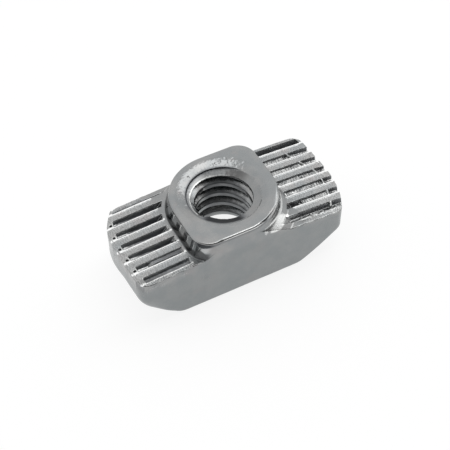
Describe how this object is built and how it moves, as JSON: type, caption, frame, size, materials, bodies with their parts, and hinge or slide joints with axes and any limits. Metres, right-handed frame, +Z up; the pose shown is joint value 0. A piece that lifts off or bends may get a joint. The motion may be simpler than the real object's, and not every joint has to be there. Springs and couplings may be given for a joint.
{
  "type": "t slot nut",
  "caption": "Drop-in nut for a T-shaped slot: raised neck with a threaded bore, serrated wings with bevelled ends, and rounded and squared corners so that it turns and locks under the lips.",
  "frame": {"origin": "on the bore axis, in the plane of the flat underside", "axes": "+Z up along the bore, out of the neck; +X along the wings; +Y across the nut, towards the squared corner of the neck at +X"},
  "size_m": [0.0212, 0.0098, 0.0076],
  "materials": {
    "steel": "zinc-plated steel, satin, with brighter edges along the ridges"
  },
  "bodies": {
    "root": {"t_slot_nut": "steel"}
  },
  "joints": []
}
